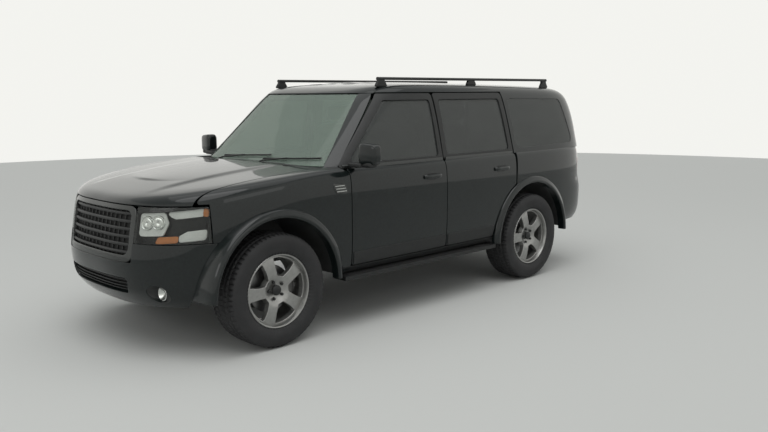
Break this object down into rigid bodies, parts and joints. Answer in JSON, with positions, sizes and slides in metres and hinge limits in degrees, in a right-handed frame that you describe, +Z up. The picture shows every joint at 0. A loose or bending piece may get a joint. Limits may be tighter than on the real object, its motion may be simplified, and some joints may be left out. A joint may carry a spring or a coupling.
{
  "type": "sport utility vehicle",
  "caption": "Large black five-door off-road estate on a ladder frame, with steered front wheels, opening doors, hood and tailgate.",
  "frame": {"origin": "on the ground, midway along the length and across the width", "axes": "+X forward, +Y to the vehicle's left, +Z up"},
  "size_m": [4.95, 2.334, 1.88],
  "materials": {
    "frame_paint": "satin black chassis paint",
    "cast_metal": "cast housings",
    "pipe_steel": "dull steel pipe",
    "underbody_plastic": "matte black coating",
    "tyre_rubber": "black tyre rubber",
    "body_paint": "gloss black paint with a clear coat",
    "rail_metal": "dark satin aluminium",
    "grille_finish": "dark bright bars",
    "lamp_lens": "clear lens over bright reflectors",
    "tail_lens": "red lens",
    "window_glass": "tinted glass",
    "trim_plastic": "grained dark plastic",
    "seat_leather": "stitched leather",
    "knuckle_iron": "cast iron",
    "wheel_alloy": "silver grey painted alloy"
  },
  "bodies": {
    "body": {"ladder_frame": "frame_paint", "engine": "cast_metal", "drivetrain": "cast_metal", "exhaust": "pipe_steel", "fuel_tank": "underbody_plastic", "spare_wheel": "tyre_rubber", "front_suspension": "frame_paint", "rear_axle": "frame_paint", "tow_receiver": "frame_paint", "floor_pan": "underbody_plastic", "wheel_tubs": "underbody_plastic", "body_sides": "body_paint", "roof": "body_paint", "roof_rails": "rail_metal", "front_fenders": "body_paint", "front_bumper": "body_paint", "grille": "grille_finish", "front_lamps": "lamp_lens", "rear_bumper": "body_paint", "tail_lamps": "tail_lens", "windshield": "window_glass", "quarter_glass": "window_glass", "running_boards": "trim_plastic", "seats": "seat_leather", "dashboard": "trim_plastic"},
    "steering_wheel": {"steering_wheel": "trim_plastic"},
    "hood": {"hood": "body_paint"},
    "tailgate": {"tailgate": "body_paint", "tailgate_glass": "window_glass"},
    "front_door_left": {"front_door_left": "body_paint", "front_door_glass_left": "window_glass", "mirror_left": "body_paint"},
    "rear_door_left": {"rear_door_left": "body_paint", "rear_door_glass_left": "window_glass"},
    "knuckle_left": {"knuckle_left": "knuckle_iron"},
    "wheel_front_left": {"tyre_front_left": "tyre_rubber", "rim_front_left": "wheel_alloy"},
    "wheel_rear_left": {"tyre_rear_left": "tyre_rubber", "rim_rear_left": "wheel_alloy"},
    "front_door_right": {"front_door_right": "body_paint", "front_door_glass_right": "window_glass", "mirror_right": "body_paint"},
    "rear_door_right": {"rear_door_right": "body_paint", "rear_door_glass_right": "window_glass"},
    "knuckle_right": {"knuckle_right": "knuckle_iron"},
    "wheel_front_right": {"tyre_front_right": "tyre_rubber", "rim_front_right": "wheel_alloy"},
    "wheel_rear_right": {"tyre_rear_right": "tyre_rubber", "rim_rear_right": "wheel_alloy"}
  },
  "joints": [
    {"name": "front_door_left_hinge", "type": "hinge", "parent": "body", "child": "front_door_left", "pos_m": [0.902, 0.961, 0.8], "axis": [0, 0, -1], "range_deg": [0, 65]},
    {"name": "rear_door_left_hinge", "type": "hinge", "parent": "body", "child": "rear_door_left", "pos_m": [-0.1615, 0.961, 0.8], "axis": [0, 0, -1], "range_deg": [0, 65]},
    {"name": "front_door_right_hinge", "type": "hinge", "parent": "body", "child": "front_door_right", "pos_m": [0.902, -0.961, 0.8], "axis": [0, 0, 1], "range_deg": [0, 65]},
    {"name": "rear_door_right_hinge", "type": "hinge", "parent": "body", "child": "rear_door_right", "pos_m": [-0.1615, -0.961, 0.8], "axis": [0, 0, 1], "range_deg": [0, 65]},
    {"name": "hood_hinge", "type": "hinge", "parent": "body", "child": "hood", "pos_m": [1.14, 0, 1.223], "axis": [0, -1, 0], "range_deg": [0, 52]},
    {"name": "tailgate_hinge", "type": "hinge", "parent": "body", "child": "tailgate", "pos_m": [-2.131, 0, 1.802], "axis": [0, 1, 0], "range_deg": [0, 80]},
    {"name": "steer_left", "type": "hinge", "parent": "body", "child": "knuckle_left", "pos_m": [1.575, 0.763, 0.403], "axis": [0, 0, 1], "range_deg": [-32, 32]},
    {"name": "steer_right", "type": "hinge", "parent": "body", "child": "knuckle_right", "pos_m": [1.575, -0.763, 0.403], "axis": [0, 0, 1], "range_deg": [-32, 32]},
    {"name": "steering_column", "type": "hinge", "parent": "body", "child": "steering_wheel", "pos_m": [0.545, 0.39, 1.13], "axis": [-0.9063, 0, 0.4226], "range_deg": [-512, 512]},
    {"name": "wheel_front_left_spin", "type": "hinge", "parent": "knuckle_left", "child": "wheel_front_left", "pos_m": [1.575, 0.825, 0.403], "axis": [0, 1, 0], "continuous": true},
    {"name": "wheel_rear_left_spin", "type": "hinge", "parent": "body", "child": "wheel_rear_left", "pos_m": [-1.375, 0.825, 0.403], "axis": [0, 1, 0], "continuous": true},
    {"name": "wheel_front_right_spin", "type": "hinge", "parent": "knuckle_right", "child": "wheel_front_right", "pos_m": [1.575, -0.825, 0.403], "axis": [0, 1, 0], "continuous": true},
    {"name": "wheel_rear_right_spin", "type": "hinge", "parent": "body", "child": "wheel_rear_right", "pos_m": [-1.375, -0.825, 0.403], "axis": [0, 1, 0], "continuous": true}
  ],
  "couplings": [
    {"joint": "steer_right", "follows": "steer_left", "ratio": 1},
    {"joint": "steering_column", "follows": "steer_left", "ratio": 16}
  ]
}
